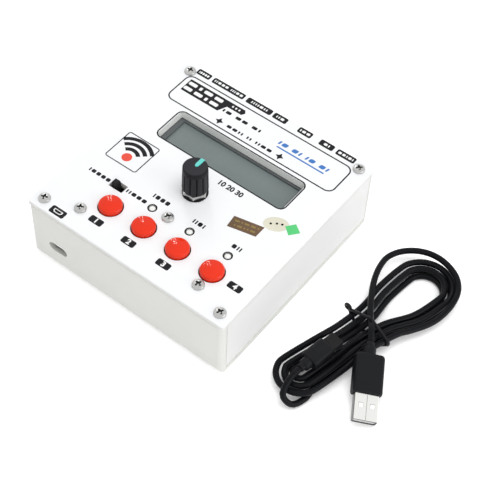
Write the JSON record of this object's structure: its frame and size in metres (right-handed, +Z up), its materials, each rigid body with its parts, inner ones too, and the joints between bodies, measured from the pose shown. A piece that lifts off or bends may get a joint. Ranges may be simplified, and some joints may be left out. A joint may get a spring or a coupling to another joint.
{
  "type": "morse code keyer",
  "caption": "Low square bench box with a lifted panel of buttons, lamps, knob and a text display, and a tied detachable lead beside it.",
  "frame": {"origin": "middle of the box's footprint, on the surface that its feet stand on", "axes": "+X to the right along the box's front, +Y away from the user, +Z up"},
  "size_m": [0.171, 0.109, 0.0526],
  "materials": {
    "enclosure_white": "satin",
    "side_grey": "satin",
    "foot_rubber": "matte",
    "screw_chrome": "polished",
    "spacer_brass": "satin",
    "circuit_board": "satin",
    "black_plastic": "satin",
    "display_window": "glossy",
    "button_red": "glossy",
    "lamp_lens": "glossy",
    "pointer_teal": "satin",
    "socket_steel": "satin",
    "lead_rubber": "satin",
    "tongue_white": "satin"
  },
  "bodies": {
    "enclosure": {"base_tray": "enclosure_white", "control_board": "circuit_board", "corner_screw_1": "screw_chrome", "corner_screw_2": "screw_chrome", "corner_screw_3": "screw_chrome", "corner_screw_4": "screw_chrome", "display_bezel": "black_plastic", "display_board": "circuit_board", "display_glass": "display_window", "display_header": "black_plastic", "front_usb_port": "socket_steel", "host_port": "socket_steel", "indicator_lamp_1": "lamp_lens", "indicator_lamp_2": "lamp_lens", "indicator_lamp_3": "lamp_lens", "key_line_jack": "black_plastic", "lead_tie": "black_plastic", "left_side_panel": "side_grey", "main_board": "circuit_board", "paddle_jack": "black_plastic", "panel_screw_1": "screw_chrome", "panel_screw_2": "screw_chrome", "panel_screw_3": "screw_chrome", "panel_spacer_1": "spacer_brass", "panel_spacer_2": "spacer_brass", "panel_spacer_3": "spacer_brass", "pot_body": "socket_steel", "pot_nut": "screw_chrome", "pot_washer": "screw_chrome", "rear_usb_port": "socket_steel", "right_side_panel": "side_grey", "rubber_foot_1": "foot_rubber", "rubber_foot_2": "foot_rubber", "rubber_foot_3": "foot_rubber", "rubber_foot_4": "foot_rubber", "serial_line_jack": "black_plastic", "slide_switch_body": "socket_steel", "small_plug_body": "lead_rubber", "small_plug_shell": "socket_steel", "sounder": "black_plastic", "tact_switch_1": "black_plastic", "tact_switch_2": "black_plastic", "tact_switch_3": "black_plastic", "tact_switch_4": "black_plastic", "tone_jack": "black_plastic", "top_panel": "enclosure_white", "transmit_jack": "black_plastic", "usb_lead": "lead_rubber", "usb_plug_body": "lead_rubber", "usb_plug_shell": "socket_steel", "usb_plug_tongue": "tongue_white"},
    "button_1": {"button_cap_1": "button_red"},
    "button_2": {"button_cap_2": "button_red"},
    "button_3": {"button_cap_3": "button_red"},
    "button_4": {"button_cap_4": "button_red"},
    "mode_lever": {"slide_lever": "black_plastic"},
    "knob": {"speed_knob": "black_plastic", "knob_pointer": "pointer_teal", "pot_shaft": "socket_steel"}
  },
  "joints": [
    {"name": "button_1_press", "type": "slide", "parent": "enclosure", "child": "button_1", "axis": [0, 0, -1], "range_m": [0, 0.0003], "stiffness_N_per_m": 900, "springref_m": -0.0003},
    {"name": "button_2_press", "type": "slide", "parent": "enclosure", "child": "button_2", "axis": [0, 0, -1], "range_m": [0, 0.0003], "stiffness_N_per_m": 900, "springref_m": -0.0003},
    {"name": "button_3_press", "type": "slide", "parent": "enclosure", "child": "button_3", "axis": [0, 0, -1], "range_m": [0, 0.0003], "stiffness_N_per_m": 900, "springref_m": -0.0003},
    {"name": "button_4_press", "type": "slide", "parent": "enclosure", "child": "button_4", "axis": [0, 0, -1], "range_m": [0, 0.0003], "stiffness_N_per_m": 900, "springref_m": -0.0003},
    {"name": "mode_slide", "type": "slide", "parent": "enclosure", "child": "mode_lever", "axis": [1, 0, 0], "range_m": [0, 0.0022]},
    {"name": "speed_turn", "type": "hinge", "parent": "enclosure", "child": "knob", "pos_m": [0, -0.0061, 0.0392], "axis": [0, 0, 1], "range_deg": [-150, 150]}
  ]
}
